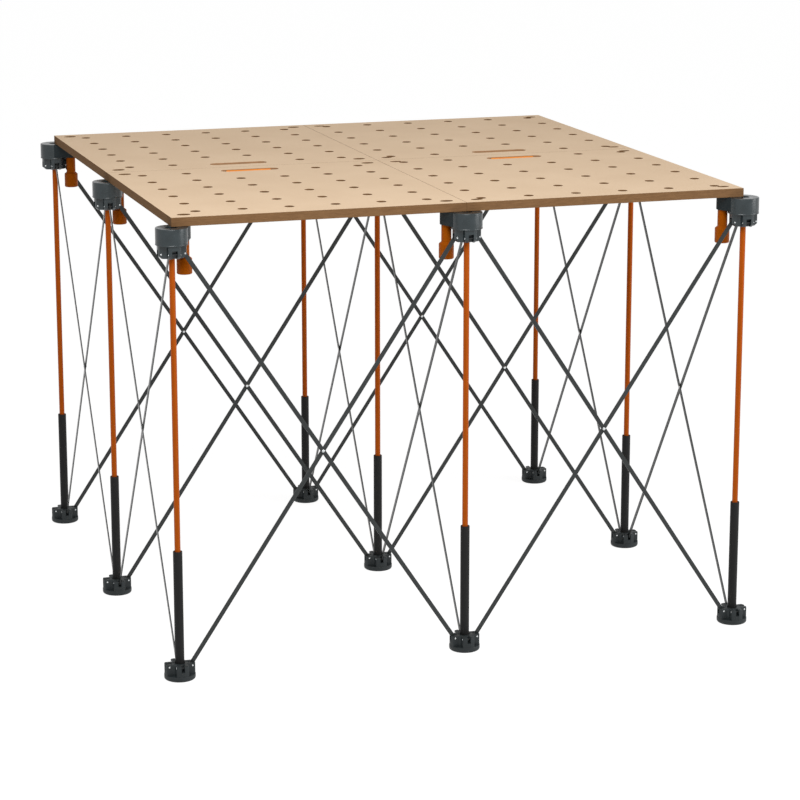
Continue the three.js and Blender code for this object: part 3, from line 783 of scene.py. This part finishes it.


def sanded_board(name, colours):
    """Sanded fibreboard: pressed fibres as fine flecks, over slow cloudy patches."""
    finish = bpy.data.materials.new(name)
    finish.use_nodes = True
    nodes, link = finish.node_tree.nodes, finish.node_tree.links.new
    skin = nodes["Principled BSDF"]
    skin.inputs["Specular IOR Level"].default_value = 0.2
    place = nodes.new("ShaderNodeTexCoord").outputs["Object"]
    fibres = nodes.new("ShaderNodeTexNoise")
    fibres.inputs["Scale"].default_value = 700
    fibres.inputs["Detail"].default_value = 8
    fibres.inputs["Roughness"].default_value = 0.7
    link(place, fibres.inputs["Vector"])
    patches = nodes.new("ShaderNodeTexNoise")
    patches.inputs["Scale"].default_value = 7
    patches.inputs["Detail"].default_value = 4
    link(place, patches.inputs["Vector"])
    blend = nodes.new("ShaderNodeMix")
    blend.inputs["Factor"].default_value = 0.4
    link(fibres.outputs["Fac"], blend.inputs["A"])
    link(patches.outputs["Fac"], blend.inputs["B"])
    tones = nodes.new("ShaderNodeValToRGB")
    tones.color_ramp.elements[0].position = 0.28
    tones.color_ramp.elements[1].position = 0.68
    for element, colour in zip(tones.color_ramp.elements, colours):
        element.color = (*colour, 1)
    link(blend.outputs["Result"], tones.inputs["Fac"])
    link(tones.outputs["Color"], skin.inputs["Base Color"])
    gloss = nodes.new("ShaderNodeMapRange")
    gloss.inputs["To Min"].default_value = 0.62
    gloss.inputs["To Max"].default_value = 0.86
    link(fibres.outputs["Fac"], gloss.inputs["Value"])
    link(gloss.outputs["Result"], skin.inputs["Roughness"])
    relief = nodes.new("ShaderNodeBump")
    relief.inputs["Strength"].default_value = 0.3
    relief.inputs["Distance"].default_value = 0.00008
    link(fibres.outputs["Fac"], relief.inputs["Height"])
    link(relief.outputs["Normal"], skin.inputs["Normal"])
    return finish


def sawn_board(name, colours):
    """The cut edge of the same board: scorched brown, with the pressed layers as level streaks."""
    finish = bpy.data.materials.new(name)
    finish.use_nodes = True
    nodes, link = finish.node_tree.nodes, finish.node_tree.links.new
    skin = nodes["Principled BSDF"]
    skin.inputs["Specular IOR Level"].default_value = 0.15
    place = nodes.new("ShaderNodeTexCoord").outputs["Object"]
    level = nodes.new("ShaderNodeMapping")
    level.inputs["Scale"].default_value = (60, 60, 900)
    link(place, level.inputs["Vector"])
    layers = nodes.new("ShaderNodeTexNoise")
    layers.inputs["Scale"].default_value = 1
    layers.inputs["Detail"].default_value = 8
    layers.inputs["Roughness"].default_value = 0.65
    link(level.outputs["Vector"], layers.inputs["Vector"])
    tones = nodes.new("ShaderNodeValToRGB")
    tones.color_ramp.elements[0].position = 0.25
    tones.color_ramp.elements[1].position = 0.78
    for element, colour in zip(tones.color_ramp.elements, colours):
        element.color = (*colour, 1)
    link(layers.outputs["Fac"], tones.inputs["Fac"])
    link(tones.outputs["Color"], skin.inputs["Base Color"])
    gloss = nodes.new("ShaderNodeMapRange")
    gloss.inputs["To Min"].default_value = 0.75
    gloss.inputs["To Max"].default_value = 0.95
    link(layers.outputs["Fac"], gloss.inputs["Value"])
    link(gloss.outputs["Result"], skin.inputs["Roughness"])
    relief = nodes.new("ShaderNodeBump")
    relief.inputs["Strength"].default_value = 0.5
    relief.inputs["Distance"].default_value = 0.00015
    link(layers.outputs["Fac"], relief.inputs["Height"])
    link(relief.outputs["Normal"], skin.inputs["Normal"])
    return finish


def box_mesh(low, high):
    corners = [(low[0], low[1]), (high[0], low[1]), (high[0], high[1]), (low[0], high[1])]
    return slab([[Vector(corner) for corner in corners]], [(0, low[2]), (0, high[2])])


def panel_mesh(end, side):
    """One panel, in the bench's frame: end is front or back, and side is left or right."""
    sx = -1 if side == "left" else 1
    sy = -1 if end == "front" else 1

    def spot(across, out):
        return Vector((sx * (SEAM + across), sy * (SEAM + out)))

    low, high = -SEAM_LAP, PANEL_SIDE
    square = [spot(low, low), spot(high, low), spot(high, high), spot(low, high)]
    loops = [square if sx * sy > 0 else square[::-1]]
    pitch = DOG_PITCH[side]
    margin = (PANEL_SIDE - (DOG_ROWS - 1) * pitch) / 2
    for row in range(DOG_ROWS):
        for column in range(DOG_ROWS):
            across, out = margin + column * pitch, margin + row * pitch
            beside = abs(across - PANEL_SIDE / 2) < HAND_LENGTH / 2 + DOG_RADIUS
            if row > 0 or not beside:
                loops.append(circle(DOG_RADIUS, 40, spot(across, out)))
    for across in (KEY_INSET, PANEL_SIDE - KEY_INSET):
        for out in (KEY_INSET, PANEL_SIDE - KEY_INSET):
            middle = spot(across, out)
            long, wide = KEY_HALF[side]
            loops.append([middle + Vector((p.x * long, p.y * wide)) for p in circle(1, 40)])
    middle = spot(PANEL_SIDE / 2, HAND_INSET)
    long, wide = HAND_LENGTH / 2, HAND_WIDTH / 2
    hand = [(long, wide), (-long, wide), (-long, -wide), (long, -wide)]
    loops.append([middle + p for p in softened([(x, y, wide - 0.01) for x, y in hand], 10)[::-1]])
    lower = [(PANEL_EASE, PANEL_LOW), (0, PANEL_LOW + PANEL_EASE)]
    upper = [(0, PANEL_TOP - PANEL_EASE), (PANEL_EASE, PANEL_TOP)]
    board = slab(loops, lower + upper)
    far = sx * (PANEL_SIDE + 2)
    near = -sx
    wedge = bmesh.new()
    for x in (near, far):
        for y, z in ((-1, -1), (FOLD_CHAMFER + 1, -1), (-1, FOLD_CHAMFER + 1)):
            wedge.verts.new((x, sy * y, PANEL_LOW + z))
    bmesh.ops.convex_hull(wedge, input=wedge.verts)
    board = carved(board, as_mesh(wedge))
    for shift in (-1, 1):
        x = sx * (SEAM + PANEL_SIDE / 2 + shift * LINK_SPREAD / 2)
        half = LINK_LENGTH / 2 + LINK_PLAY
        ys = sorted((-sy, sy * LINK_POCKET))
        pocket = box_mesh((x - half, ys[0], PANEL_LOW - 1), (x + half, ys[1], LINK_POCKET_ROOF))
        board = carved(board, pocket)
    return board


board_face = sanded_board("sanded_board", BOARD_TAN)
board_edge = sawn_board("sawn_board", BOARD_BROWN)
slot_lit_edge = sawn_board("routed_board", SLOT_LIT_BROWN)
for end in ("front", "back"):
    for side in ("left", "right"):
        node = "panel_" + end + "_" + side
        panel = add_piece(
            "board_" + end + "_" + side,
            panel_mesh(end, side),
            Matrix.Identity(4),
            [board_face, board_edge, slot_lit_edge],
            "top_" + end + "_" + side,
            "panel_board",
            node,
        )
        # The hand slots' walls take the lighter brown, painted light for the light that falls into them.
        slot_middle = Vector((SEAM + PANEL_SIDE / 2, SEAM + HAND_INSET)) * MM
        for face in panel.data.polygons:
            beside = abs(abs(face.center.x) - slot_middle.x) < (HAND_LENGTH / 2 + 1) * MM
            inside = abs(abs(face.center.y) - slot_middle.y) < (HAND_WIDTH / 2 + 1) * MM
            if abs(face.normal.z) > 0.9:
                face.material_index = 0
            else:
                face.material_index = 2 if beside and inside else 1

# Hinge links: plated steel blocks with two pins, let into the underside across the fold of each
# unit. Each panel turns on one of the two pins.
LINK_HEIGHT = 4.8
LINK_HALF = 7.5
LINK_EDGE = 0.6
LINK_CORNER = 2
LINK_PIN_RADIUS = 2
LINK_PIN_REACH = 5
DULL_ZINC = ((0.30, 0.31, 0.32), (0.46, 0.47, 0.48))

hinge_finish = plated_steel("dull_zinc", DULL_ZINC, (0.34, 0.5))
half_link = LINK_LENGTH / 2
link_corners = [
    (-half_link, -LINK_HALF, LINK_CORNER),
    (half_link, -LINK_HALF, LINK_CORNER),
    (half_link, LINK_HALF, LINK_CORNER),
    (-half_link, LINK_HALF, LINK_CORNER),
]
link_low = LINK_PIN_LEVEL - LINK_HEIGHT / 2
link_top = LINK_PIN_LEVEL + LINK_HEIGHT / 2
leaf = slab(
    [softened(link_corners)],
    [(LINK_EDGE, link_low), (0, link_low + LINK_EDGE), (0, link_top - LINK_EDGE), (LINK_EDGE, link_top)],
)
link_pin_half = half_link + LINK_PIN_REACH
link_pin = turned(
    softened(
        [
            (0, -link_pin_half, 0),
            (LINK_PIN_RADIUS, -link_pin_half, 0.5),
            (LINK_PIN_RADIUS, link_pin_half, 0.5),
            (0, link_pin_half, 0),
        ]
    ),
    sides=20,
)
along_x = Matrix.Rotation(math.radians(90), 4, "Y")
link_pins = [
    moved(link_pin, Matrix.Translation((0, y, LINK_PIN_LEVEL)) @ along_x)
    for y in (-LINK_PIN_INSET, LINK_PIN_INSET)
]
hinge_link = together(leaf, *link_pins)
for side in ("left", "right"):
    for spot in ("inner", "outer"):
        node = "hinge_link_" + side + "_" + spot
        low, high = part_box(node)
        place = Matrix.Translation(((low.x + high.x) / 2, 0, 0))
        name = "link_" + side + "_" + spot
        add_piece(name, hinge_link, place, [hinge_finish], "top_hinge_" + side, "hinge_steel", node)

# Hand grips: orange moulded strips with a rounded face, pressed onto the fold-side wall of the two
# front hand slots so that the panel can be lifted without splinters.
STRIP_THICK = 5
STRIP_HALF_HEIGHT = 7.5
STRIP_HALF_LENGTH = 50
STRIP_END = 1.2  # rounding of the two ends
STRIP_END_STEP = 0.35  # a point along that rounding
STRIP_SEAT = 0.4  # past the CAD's fitting gap, into the slot's wall
GRIP_ORANGE = ((0.70, 0.215, 0.03), (0.82, 0.275, 0.045))

strip_finish = moulded_plastic("bright_orange_nylon", GRIP_ORANGE, (0.38, 0.52), 0.3, ORANGE_SHEEN)
steps = 16
bow = [math.pi / 2 + math.pi * i / steps for i in range(steps + 1)]
strip_profile = [Vector((STRIP_THICK * math.cos(a), STRIP_HALF_HEIGHT * math.sin(a))) for a in bow]
strip = slab(
    [strip_profile],
    [
        (STRIP_END, -STRIP_HALF_LENGTH),
        (STRIP_END_STEP, STRIP_END_STEP - STRIP_HALF_LENGTH),
        (0, STRIP_END - STRIP_HALF_LENGTH),
        (0, STRIP_HALF_LENGTH - STRIP_END),
        (STRIP_END_STEP, STRIP_HALF_LENGTH - STRIP_END_STEP),
        (STRIP_END, STRIP_HALF_LENGTH),
    ],
)
strip_axes = Matrix(((0, 0, 1, 0), (1, 0, 0, 0), (0, 1, 0, 0), (0, 0, 0, 1)))
lying_strip = moved(strip, strip_axes)
for side in ("left", "right"):
    node = "hand_grip_" + side
    low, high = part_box(node)
    wall = high.y + STRIP_SEAT * MM
    place = Matrix.Translation(((low.x + high.x) / 2, wall, (low.z + high.z) / 2))
    body = "top_front_" + side
    add_piece("grip_" + side, lying_strip, place, [strip_finish], body, "grip_plastic", node)

# Studio: a pale floor that runs past the edges of the picture, even light from all round, a large
# soft box above the front edge and one at the right. The camera stands where the photograph was taken.
FLOOR_HALF = 60  # metres
FLOOR_WHITE = 0.85
FLOOR_GLOW = 1.15
FLOOR_GLOW_SHARE = 0.8  # of what the camera sees; the rest shows the shadow
SKY_LIGHT = 0.44
SOFT_BOXES = [
    ("front_box", (-0.9, -2.5, 2.9), (0, 0, 0.8), 1.6, 74),
    ("right_box", (3.4, -2.2, 1.7), (0, 0, 0.6), 1.8, 70),
]  # name, place, aim, side in metres and watts
CAMERA_PLACE = (-1.7913, -5.7759, 1.8402)
CAMERA_AZIMUTH = 17.711
CAMERA_TILT = 13.425
CAMERA_LENS = 123.39
CAMERA_SENSOR = 36


def seen_directly(tree):
    """One where a ray comes from the camera, a mirror or glass, and nothing where it carries light."""
    rays = tree.nodes.new("ShaderNodeLightPath")
    most = rays.outputs["Is Camera Ray"]
    for kind in ("Is Glossy Ray", "Is Transmission Ray"):
        larger = tree.nodes.new("ShaderNodeMath")
        larger.operation = "MAXIMUM"
        tree.links.new(most, larger.inputs[0])
        tree.links.new(rays.outputs[kind], larger.inputs[1])
        most = larger.outputs["Value"]
    return most


scene = bpy.context.scene
scene.view_settings.view_transform = "Standard"
world = bpy.data.worlds.new("even_light")
scene.world = world
world.use_nodes = True
sky = world.node_tree
backdrop = sky.nodes["Background"]
backdrop.inputs["Color"].default_value = (1, 1, 1, 1)
level = sky.nodes.new("ShaderNodeMapRange")
level.inputs["To Min"].default_value = SKY_LIGHT
level.inputs["To Max"].default_value = 1
sky.links.new(seen_directly(sky), level.inputs["Value"])
sky.links.new(level.outputs["Result"], backdrop.inputs["Strength"])

for name, spot, aim, side, watts in SOFT_BOXES:
    lamp = bpy.data.lights.new(name, "AREA")
    lamp.energy = watts
    lamp.size = side
    stand = bpy.data.objects.new(name, lamp)
    stand.location = spot
    stand.rotation_euler = (Vector(aim) - Vector(spot)).to_track_quat("-Z", "Y").to_euler()
    scene.collection.objects.link(stand)

ground = bmesh.new()
bmesh.ops.create_grid(ground, x_segments=1, y_segments=1, size=FLOOR_HALF)
floor = bpy.data.objects.new("floor", as_mesh(ground))
scene.collection.objects.link(floor)
paper = bpy.data.materials.new("pale_floor")
paper.use_nodes = True
tree = paper.node_tree
tree.nodes.remove(tree.nodes["Principled BSDF"])
matt = tree.nodes.new("ShaderNodeBsdfDiffuse")
matt.inputs["Color"].default_value = (FLOOR_WHITE, FLOOR_WHITE, FLOOR_WHITE, 1)
glow = tree.nodes.new("ShaderNodeEmission")
glow.inputs["Strength"].default_value = FLOOR_GLOW
share = tree.nodes.new("ShaderNodeMapRange")
share.inputs["To Min"].default_value = 0
share.inputs["To Max"].default_value = FLOOR_GLOW_SHARE
tree.links.new(seen_directly(tree), share.inputs["Value"])
mixed = tree.nodes.new("ShaderNodeMixShader")
tree.links.new(share.outputs["Result"], mixed.inputs["Fac"])
tree.links.new(matt.outputs["BSDF"], mixed.inputs[1])
tree.links.new(glow.outputs["Emission"], mixed.inputs[2])
tree.links.new(mixed.outputs["Shader"], tree.nodes["Material Output"].inputs["Surface"])
floor.data.materials.append(paper)

camera = bpy.data.cameras.new("camera")
camera.sensor_width = CAMERA_SENSOR
camera.lens = CAMERA_LENS
camera_stand = bpy.data.objects.new("camera", camera)
azimuth, tilt = math.radians(CAMERA_AZIMUTH), math.radians(CAMERA_TILT)
gaze = Vector((math.sin(azimuth) * math.cos(tilt), math.cos(azimuth) * math.cos(tilt), -math.sin(tilt)))
camera_stand.location = CAMERA_PLACE
camera_stand.rotation_euler = gaze.to_track_quat("-Z", "Y").to_euler()
scene.collection.objects.link(camera_stand)
scene.camera = camera_stand
